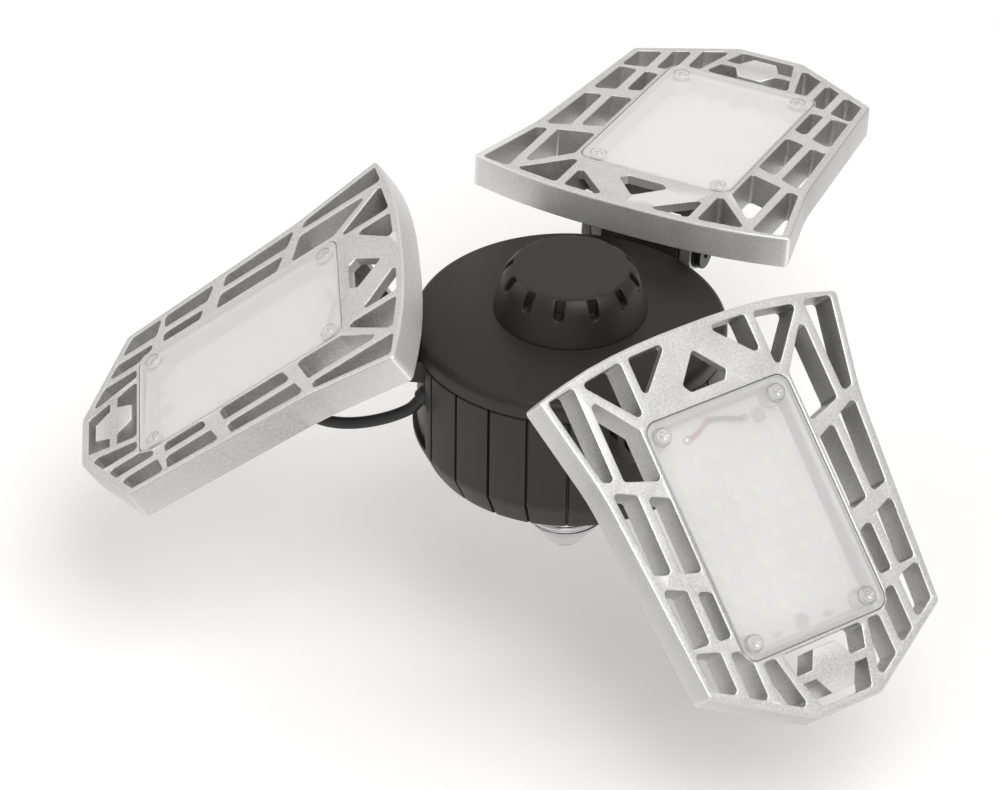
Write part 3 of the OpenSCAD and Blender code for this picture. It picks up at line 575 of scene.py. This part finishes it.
def plate(width: float, length: float, corner: float, low: float, high: float,
          centre: tuple[float, float] = (0.0, 0.0), segments: int = 6) -> bmesh.types.BMesh:
    """A flat plate with rounded corners.

    Args:
        width: Size along x.
        length: Size along y.
        corner: Corner radius.
        low: Height of its underside.
        high: Height of its top.
        centre: Its middle in plan.
        segments: Faces round each corner.

    Returns:
        The plate.
    """
    bm = bmesh.new()
    bmesh.ops.create_grid(bm, x_segments=1, y_segments=1, size=0.5)
    bmesh.ops.scale(bm, vec=(width, length, 1.0), verts=bm.verts)
    bmesh.ops.bevel(bm, geom=bm.verts[:], offset=corner, offset_type="OFFSET", segments=segments, profile=0.5,
                    affect="VERTICES", material=-1)
    bmesh.ops.translate(bm, vec=(*centre, low), verts=bm.verts)
    made = bmesh.ops.extrude_face_region(bm, geom=bm.faces[:])
    lifted = [v for v in made["geom"] if isinstance(v, bmesh.types.BMVert)]
    bmesh.ops.translate(bm, vec=(0, 0, high - low), verts=lifted)
    bmesh.ops.recalc_face_normals(bm, faces=bm.faces)
    return bm


def turned(profile: Sequence[tuple[float, float]], steps: int = 96) -> bmesh.types.BMesh:
    """A solid of revolution about z from an open profile that starts and ends on the axis, or a closed one.

    Args:
        profile: Radius and height of each point.
        steps: Faces round it.

    Returns:
        The solid.
    """
    bm = bmesh.new()
    verts = [bm.verts.new((r, 0.0, z)) for r, z in profile]
    edges = [bm.edges.new(pair) for pair in zip(verts, verts[1:])]
    bmesh.ops.spin(bm, geom=verts + edges, cent=(0, 0, 0), axis=(0, 0, 1), angle=2 * math.pi, steps=steps,
                   use_merge=True)
    bmesh.ops.remove_doubles(bm, verts=bm.verts, dist=0.001)
    bmesh.ops.recalc_face_normals(bm, faces=bm.faces)
    return bm


def joined(parts: Iterable[bmesh.types.BMesh]) -> bmesh.types.BMesh:
    """Puts several shapes into one, and frees them.

    Args:
        parts: The shapes.

    Returns:
        All of them as one shape.
    """
    whole = bmesh.new()
    for part in parts:
        mesh = bpy.data.meshes.new("scratch")
        part.to_mesh(mesh)
        part.free()
        whole.from_mesh(mesh)
        bpy.data.meshes.remove(mesh)
    return whole


def paint(bm: bmesh.types.BMesh, number: int) -> bmesh.types.BMesh:
    """Gives every face of a shape one material number.

    Args:
        bm: The shape.
        number: The material's number.

    Returns:
        The same shape.
    """
    for face in bm.faces:
        face.material_index = number
    return bm


def tube(points: Sequence[Vector], radius: float, sides: int = 12) -> bmesh.types.BMesh:
    """A round tube through a list of points, closed at both ends.

    Args:
        points: The centreline.
        radius: The tube's radius.
        sides: Faces round it.

    Returns:
        The tube.
    """
    bm = bmesh.new()
    last: list[bmesh.types.BMVert] = []
    frame_x = Vector((1, 0, 0))
    ends = []
    for i, point in enumerate(points):
        along = (points[min(i + 1, len(points) - 1)] - points[max(i - 1, 0)]).normalized()
        frame_x = (frame_x - along * frame_x.dot(along)).normalized()
        turn = Matrix((frame_x, along.cross(frame_x), along)).transposed().to_4x4()
        made = bmesh.ops.create_circle(bm, segments=sides, radius=radius,
                                       matrix=Matrix.Translation(point) @ turn)
        ring = made["verts"]
        if last:
            edges = {e for v in last + ring for e in v.link_edges
                     if all(w in last for w in e.verts) or all(w in ring for w in e.verts)}
            bmesh.ops.bridge_loops(bm, edges=list(edges))
        else:
            ends.append(ring)
        last = ring
    ends.append(last)
    for ring in ends:
        bmesh.ops.contextual_create(bm, geom=ring)
    bmesh.ops.recalc_face_normals(bm, faces=bm.faces)
    return bm


# ------------------------------------------------------------------ camera, floor and light

@dataclass(frozen=True)
class Softbox:
    """A square soft light: its place and side in metres, its power in watts and its colour."""

    name: str
    at: tuple[float, float, float]
    side: float
    power: float
    colour: tuple[float, float, float] = (1.0, 1.0, 1.0)


@dataclass
class Studio:
    """Camera at the photograph's viewpoint, a pale floor and soft light."""

    eye: tuple[float, float, float] = (-0.1110, -1.1343, 0.8638)
    aim: tuple[float, float, float] = (-0.0254, -0.0356, 0.0860)
    roll: float = 0.74
    lens: float = 151.8
    sensor: float = 36.0
    clip: tuple[float, float] = (0.05, 20.0)
    floor_z: float = -0.0185
    floor_half: float = 9.0
    lit_z: float = 0.08
    softboxes: tuple[Softbox, ...] = (
        Softbox("overhead", (0.30, -0.70, 1.45), 1.0, 13.4, (0.975, 1.0, 1.0)),
        Softbox("fill", (-0.10, -1.7, 0.75), 1.0, 1.5),
        Softbox("left", (-1.35, 0.80, 1.40), 1.4, 7.0),
        Softbox("back", (0.3, 1.5, 1.0), 1.4, 2.0),
    )
    room_colour: tuple[float, float, float] = (1.0, 0.955, 0.95)
    room_light: float = 0.50

    def camera(self) -> None:
        """Makes the camera."""
        data = bpy.data.cameras.new("camera")
        data.lens = self.lens
        data.sensor_width = self.sensor
        data.clip_start, data.clip_end = self.clip
        obj = bpy.data.objects.new("camera", data)
        look = Vector(self.aim) - Vector(self.eye)
        obj.rotation_mode = "QUATERNION"
        obj.rotation_quaternion = (look.to_track_quat("-Z", "Y")
                                   @ Quaternion((0, 0, 1), math.radians(self.roll)))
        obj.location = self.eye
        bpy.context.scene.collection.objects.link(obj)
        bpy.context.scene.camera = obj

    def floor(self) -> None:
        """Makes the floor."""
        bm = bmesh.new()
        bmesh.ops.create_grid(bm, x_segments=1, y_segments=1, size=self.floor_half)
        bmesh.ops.translate(bm, vec=(0, 0, self.floor_z), verts=bm.verts)
        settle("floor", bm, [Finish.FLOOR])

    def light(self, box: Softbox) -> None:
        """Hangs a soft light that faces the hub.

        Args:
            box: The light.
        """
        data = bpy.data.lights.new(box.name, "AREA")
        data.energy, data.size, data.color = box.power, box.side, box.colour
        obj = bpy.data.objects.new(box.name, data)
        obj.location = box.at
        obj.rotation_mode = "QUATERNION"
        obj.rotation_quaternion = (Vector((0, 0, self.lit_z)) - Vector(box.at)).to_track_quat("-Z", "Y")
        bpy.context.scene.collection.objects.link(obj)

    def room(self) -> None:
        """Makes the pale surroundings."""
        world = bpy.data.worlds.new("pale_room")
        world.use_nodes = True
        backdrop = world.node_tree.nodes["Background"]
        backdrop.inputs["Color"].default_value = (*self.room_colour, 1.0)
        backdrop.inputs["Strength"].default_value = self.room_light
        bpy.context.scene.world = world
        bpy.context.scene.view_settings.view_transform = "Standard"

    def build(self) -> None:
        """Makes everything round the object."""
        self.camera()
        self.floor()
        for box in self.softboxes:
            self.light(box)
        self.room()


# ------------------------------------------------------------------ leads

@dataclass
class Lead:
    """The black lead from the hub's wall to one panel's underside."""

    place: PanelPlace
    gland_y: float = 32.0
    gland_tip: float = 5.5
    inlet_at: tuple[float, float] = (48.2804, -15.0)
    inlet_out: float = 1.5
    inlet_tilt: float = 50.0
    hub_pull: float = 0.4
    bend_steps: int = 28
    sides: int = 16

    def seen(self, y: float, z: float) -> Vector:
        """Distance from the centreline and height over the hinge of a point of the panel's own frame."""
        t = math.radians(self.place.tilt)
        return Vector((HINGE_R + y * math.cos(t) + z * math.sin(t), z * math.cos(t) - y * math.sin(t)))

    def route(self) -> list[Vector]:
        """Points of the lead in the hub's frame turned to this hinge, in millimetres.

        Returns:
            Three points inside the hub's bush, those of the bend, and three inside the panel's gland.
        """
        slope = math.radians(self.inlet_tilt)
        out = Vector((math.cos(slope), -math.sin(slope)))
        start, goal = Vector(self.inlet_at) + self.inlet_out * out, self.seen(self.gland_y, self.gland_tip)
        away = goal - self.seen(self.gland_y, self.gland_tip + 1)
        straight, slack = 2 * LEAD_R, self.place.slack
        first, last = start + straight * out, goal + straight * away
        pull_1, pull_2 = start + self.hub_pull * slack * out, goal + slack * away
        flat = [start - 6 * out, start - 2 * out, start]
        for i in range(self.bend_steps + 1):
            t = i / self.bend_steps
            u = 1 - t
            flat.append(u ** 3 * first + 3 * u * u * t * pull_1 + 3 * u * t * t * pull_2 + t ** 3 * last)
        flat += [goal, goal - away * 2, goal - away * 6]
        return [Vector((-LEAD_X, p.x, p.y)) for p in flat]

    def build(self) -> None:
        """Makes the lead, which bends between the hub and the panel."""
        points = self.route()
        bm = tube(points, LEAD_R, self.sides)
        name = f"{self.place.name}_lead_sheath"
        obj = settle(name, bm, [Finish.SHEATH], self.place.hub_matrix())
        to_part = self.place.hub_matrix()
        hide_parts(f"{self.place.name}_lead")
        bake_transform(obj)
        LOG.info("%s bends between hub and %s", name, self.place.body)


# ------------------------------------------------------------------ one panel

@dataclass
class Panel:
    """One hinged panel: casting, window, board, LEDs and hinge hardware."""

    place: PanelPlace
    face_z: float = 24.5
    under_z: float = 13.5
    lens_top: float = 24.7
    board_z: float = 17.5
    outline_round: float = 0.9
    lattice_round: float = 0.4
    fin_round: float = 0.3
    lens_round: float = 0.5
    lens_edge: float = 0.2
    led_grid: tuple[int, int] = (6, 8)
    led_pitch: tuple[float, float] = (7.7, 7.4)
    led_start: float = 14.5
    led_size: tuple[float, float, float] = (2.8, 3.5, 0.7)
    led_corner: float = 0.25
    led_rim: float = 0.35
    led_dip: float = 0.12
    pad: tuple[float, float] = (10.8, 7.2)
    wire_hole: tuple[float, float] = (1.3, 3.6)
    wire_r: float = 0.7
    solder_r: float = 1.5
    solder_shape: tuple[float, float, float] = (1.25, 1.0, 0.6)
    end_part_size: tuple[float, float, float] = (3.0, 1.5, 0.8)
    end_part_at: tuple[float, float] = (9.75, 73.6)

    def node(self, what: str) -> str:
        """Full name of one of this panel's CAD nodes."""
        return f"{self.place.name}_{what}"

    def add(self, what: str, bm: bmesh.types.BMesh, finishes: Sequence[Finish], slot: str, *nodes: str,
            sharp: float = 40.0) -> None:
        """Settles a shape of the panel's own frame and hangs it on the panel.

        Args:
            what: The piece's name without the panel's.
            bm: The shape.
            finishes: Its finishes.
            slot: The record's material slot.
            nodes: This panel's CAD nodes that it stands for, without the panel's name.
            sharp: Angle above which an edge stays sharp.
        """
        obj = settle(self.node(what), bm, finishes, self.place.matrix(), sharp)
        claim(obj, self.place.body, slot, *(self.node(n) for n in nodes))

    def copy(self, what: str, finish: Finish, slot: str, width: float, segments: int = 2) -> None:
        """Replaces a CAD node by a copy with softened edges.

        Args:
            what: The node's name without the panel's.
            finish: Its finish.
            slot: The record's material slot.
            width: Width of the bevels.
            segments: Faces across each bevel.
        """
        bm = merged_copy(self.node(what), self.place.matrix())
        if width > 0:
            soften(bm, width, segments)
        self.add(f"{what}_look", bm, [finish], slot, what)

    def casting(self) -> None:
        """Makes the cast frame, with a larger round on its outline and painted shade on its upright walls, as
        darker copies of the casting finish.
        """
        bm = merged_copy(self.node("panel_casting"), self.place.matrix())
        outline = longest_loop(bm, self.face_z)
        outer = {f for e in outline for f in e.link_faces}
        # Painted shade: the outline's upright walls, but for the root wall, take the darker copy, and the
        # inner upright walls take the lighter one.
        for face in bm.faces:
            if abs(face.normal.z) < UPRIGHT and (face not in outer or face.normal.y > -UPRIGHT):
                face.material_index = 1 if face in outer else 2
        soften(bm, self.outline_round, 3, chosen=lambda e: e in outline)
        for level in (self.face_z, self.under_z):
            soften(bm, self.lattice_round, chosen=lambda e: lies_at(e, level))
            refill(bm, level)
        soften(bm, self.fin_round, chosen=lambda e: max(v.co.z for v in e.verts) < self.under_z - 0.5)
        self.add("panel_casting_look", bm, [Finish.CASTING, Finish.OUTER_WALL_SHADE, Finish.INNER_WALL_SHADE], "cast_aluminium",
                 "panel_casting")

    def lens(self) -> None:
        """Makes the lens with its rounded edge, its screw recesses and its four bosses."""
        bm = merged_copy(self.node("lens"), self.place.matrix())
        outline = longest_loop(bm, self.lens_top)
        soften(bm, self.lens_round, 3, chosen=lambda e: e in outline)
        soften(bm, self.lens_edge, chosen=lambda e: lies_at(e, self.lens_top))
        refill(bm, self.lens_top)
        self.add("lens_cover", bm, [Finish.LENS], "lens_plastic", "lens")

    def leds(self) -> None:
        """Makes the LEDs: a pale body round a yellow phosphor window."""
        columns, rows = self.led_grid
        width, length, height = self.led_size
        parts = []
        for i in range(columns):
            for j in range(rows):
                at = ((i - (columns - 1) / 2) * self.led_pitch[0], self.led_start + j * self.led_pitch[1])
                body = plate(width, length, self.led_corner, self.board_z, self.board_z + height, at, 1)
                top = [f for f in body.faces if f.normal.z > 0.9]
                bmesh.ops.inset_region(body, faces=top, thickness=self.led_rim, depth=-self.led_dip,
                                       use_even_offset=True)
                for face in body.faces:
                    if face.normal.z > FLAT and len(face.verts) > 4:
                        face.material_index = 1
                parts.append(body)
        self.add("led_chips", joined(parts), [Finish.CHIP, Finish.PHOSPHOR], "led_yellow", "leds")

    def wire(self, side: int) -> bmesh.types.BMesh:
        """One board wire, from the hole in the board to its solder pad.

        Args:
            side: -1 for the black wire's side, 1 for the red one's.

        Returns:
            The wire.
        """
        x, y = self.wire_hole
        z = self.board_z
        points = [Vector((x, y, z - 1.5)), Vector((x + side * 0.3, y + 0.1, z + 0.8)),
                  Vector((side * 3.4 + 0.8, y + 1.0, z + 1.6)), Vector((side * 6.8, y + 2.5, z + 1.3)),
                  Vector((side * (self.pad[0] - 0.6), self.pad[1], z + 0.8))]
        return tube(smooth_path(points, 6), self.wire_r)

    def solder(self, side: int) -> bmesh.types.BMesh:
        """The solder joint on one pad.

        Args:
            side: -1 or 1, the pad's side of the board.

        Returns:
            The joint.
        """
        blob = bmesh.new()
        bmesh.ops.create_uvsphere(blob, u_segments=16, v_segments=8, radius=self.solder_r)
        bmesh.ops.scale(blob, vec=self.solder_shape, verts=blob.verts)
        bmesh.ops.translate(blob, vec=(side * self.pad[0], self.pad[1], self.board_z + 0.2), verts=blob.verts)
        return blob

    def wires(self) -> None:
        """Makes the two board wires, their solder joints and the low parts at the board's far end."""
        width, length, height = self.end_part_size
        parts = []
        for side, number in ((-1, 1), (1, 2)):
            parts.append(paint(self.wire(side), number))
            parts.append(self.solder(side))
            parts.append(plate(width, length, 0.2, self.board_z, self.board_z + height,
                               (side * self.end_part_at[0], self.end_part_at[1]), 1))
        self.add("board_leads", joined(parts), [Finish.SOLDER, Finish.BLACK_WIRE, Finish.RED_WIRE], "wire",
                 "board_wires")

    def board(self) -> None:
        """Makes the white board."""
        self.copy("led_board", Finish.BOARD, "white_board", 0.12, 1)

    def hinge(self) -> None:
        """Makes the bolt, nut and washers of the hinge."""
        self.copy("hinge_bolt", Finish.OXIDE, "bolt_black", 0.3)
        self.copy("hinge_nut", Finish.STEEL, "screw_steel", 0.25)
        self.copy("hinge_washers", Finish.OXIDE, "screw_steel", 0.12)

    def build(self) -> None:
        """Makes the whole panel."""
        self.casting()
        self.lens()
        self.copy("lens_gasket", Finish.GASKET, "gasket_rubber", 0.0)
        self.board()
        self.leds()
        self.wires()
        self.copy("lens_screws", Finish.PALE_STEEL, "screw_steel", 0.12)
        self.copy("board_screws", Finish.STEEL, "screw_steel", 0.12)
        self.hinge()
        self.copy("gland", Finish.GLAND, "gland_plastic", 0.3)


def smooth_path(points: Sequence[Vector], steps: int) -> list[Vector]:
    """A smooth curve through a few points.

    Args:
        points: What it passes through.
        steps: Pieces between one point and the next.

    Returns:
        The points of the curve.
    """
    ends = [2 * points[0] - points[1], *points, 2 * points[-1] - points[-2]]
    path = []
    for a, b, c, d in zip(ends, ends[1:], ends[2:], ends[3:]):
        for i in range(steps):
            t = i / steps
            path.append(0.5 * (2 * b + (c - a) * t + (2 * a - 5 * b + 4 * c - d) * t * t
                               + (3 * b - a - 3 * c + d) * t ** 3))
    return path + [points[-1]]


# ------------------------------------------------------------------ hub

@dataclass
class Hub:
    """The round body with its cover, centre cap and lamp cap."""

    thread_r: float = 13.15
    thread_d: float = 0.95
    pitch: float = 3.63
    ledge_z: float = 52.0
    thread_top: float = 23.0
    thread_turns: int = 3
    cap_top: float = 27.0
    shell_wall: float = 0.4
    side_r: float = 51.5
    roll_r: float = 3.0
    cover_z: float = 85.0
    rim_z: float = 91.6
    dome_z: float = 95.2
    dome_wall: float = 2.4
    hole_r: float = 14.0
    dome_r: float = 25.9
    lip_r: float = 47.0

    def cover(self) -> None:
        """Makes the domed top cover with its rolled rim."""
        roll = [(self.side_r - self.roll_r * (1 - math.sin(a)), self.rim_z - self.roll_r * (1 - math.cos(a)))
                for a in (math.radians(7.5 * i) for i in range(12, -1, -1))]
        below = self.dome_z - self.dome_wall
        profile = [(self.hole_r, below), (self.dome_r + 0.4, below), (self.lip_r - 1, self.rim_z - 3.0),
                   (self.lip_r, self.rim_z - 3.6), (self.lip_r, self.cover_z),
                   (self.side_r - 0.2, self.cover_z), (self.side_r, self.cover_z + 0.2), *roll,
                   (self.dome_r, self.dome_z), (self.hole_r, self.dome_z), (self.hole_r, below)]
        bm = turned(profile, 256)
        obj = settle("top_cover_look", bm, [Finish.BLACK], HUB_FRAME, 30.0)
        claim(obj, "hub", "body_plastic", "top_cover")

    def thread(self) -> None:
        """Makes the lamp cap's shell with its right-hand helical thread."""
        foot = self.thread_top - self.thread_turns * self.pitch
        inside = self.thread_r - self.thread_d - self.shell_wall
        steps = 24 * self.thread_turns
        wall = [(self.thread_r, self.thread_top - (self.thread_top - foot) * i / steps)
                for i in range(steps + 1)]
        profile = [(inside, self.cap_top - 0.2), (self.thread_r - 0.2, self.cap_top),
                   (self.thread_r, self.cap_top - 0.2), *wall, (self.thread_r - 0.5, foot - 1.1),
                   (self.thread_r - 1.3, foot - 1.7), (self.thread_r - 1.7, foot - 1.3), (inside, foot + 0.5),
                   (inside, self.cap_top - 0.2)]
        bm = turned(profile, 144)
        for v in bm.verts:
            out = math.hypot(v.co.x, v.co.y)
            if out > self.thread_r - 0.01 and foot <= v.co.z <= self.thread_top:
                turn = math.atan2(v.co.y, v.co.x) / (2 * math.pi)
                fade = min(1.0, (self.thread_top - v.co.z) / 0.9, (v.co.z - foot) / 0.9 + 0.3)
                dip = self.thread_d * fade * (1 - math.cos(2 * math.pi * (v.co.z / self.pitch - turn))) / 2
                v.co.x *= (out - dip) / out
                v.co.y *= (out - dip) / out
        claim(settle("lampcap_shell_look", bm, [Finish.NICKEL], HUB_FRAME, 50.0), "hub", "cap_metal",
              "lampcap_shell")

    def copy(self, node: str, finish: Finish, slot: str, width: float) -> None:
        """Replaces one of the hub's CAD nodes by a copy with softened edges, but for the inside ledge.

        Args:
            node: The node's name.
            finish: Its finish.
            slot: The record's material slot.
            width: Width of the bevels; 0 leaves the edges as they are.
        """
        bm = merged_copy(node)
        if width > 0:
            soften(bm, width, chosen=lambda e: not lies_at(e, self.ledge_z))
        obj = settle(f"{node}_look", bm, [finish], HUB_FRAME)
        claim(obj, "hub", slot, node)

    def build(self) -> None:
        """Makes the whole hub."""
        self.cover()
        self.thread()
        for node, finish, slot, width in (
                ("upper_body", Finish.BLACK, "body_plastic", 0.25),
                ("centre_cap", Finish.BLACK, "body_plastic", 0.35),
                ("lower_body", Finish.BLACK, "body_plastic", 0.25),
                ("body_screws", Finish.STEEL, "screw_steel", 0.15),
                ("lead_inlets", Finish.GLAND, "gland_plastic", 0.15),
                ("lampcap_insulator", Finish.CERAMIC, "cap_insulator", 0.0),
                ("lampcap_contact", Finish.BRASS, "contact_brass", 0.0),
                ("supply_wires", Finish.BRASS, "wire", 0.0),
                ("driver_board", Finish.CIRCUIT, "circuit_board", 0.0),
                ("driver_transformer", Finish.TAPE, "transformer_tape", 0.4),
                ("driver_capacitors", Finish.SLEEVE, "capacitor_sleeve", 0.4),
                ("driver_choke", Finish.COPPER, "choke_winding", 0.3)):
            self.copy(node, finish, slot, width)


# ------------------------------------------------------------------ all of it


def main() -> None:
    """Builds the studio, the leads, the panels and the hub."""
    logging.basicConfig(level=logging.INFO, format="%(name)s: %(message)s")
    Studio().build()
    for place in PLACES:
        Lead(place).build()
    for place in PLACES:
        Panel(place).build()
    Hub().build()


if __name__ == "__main__":
    main()
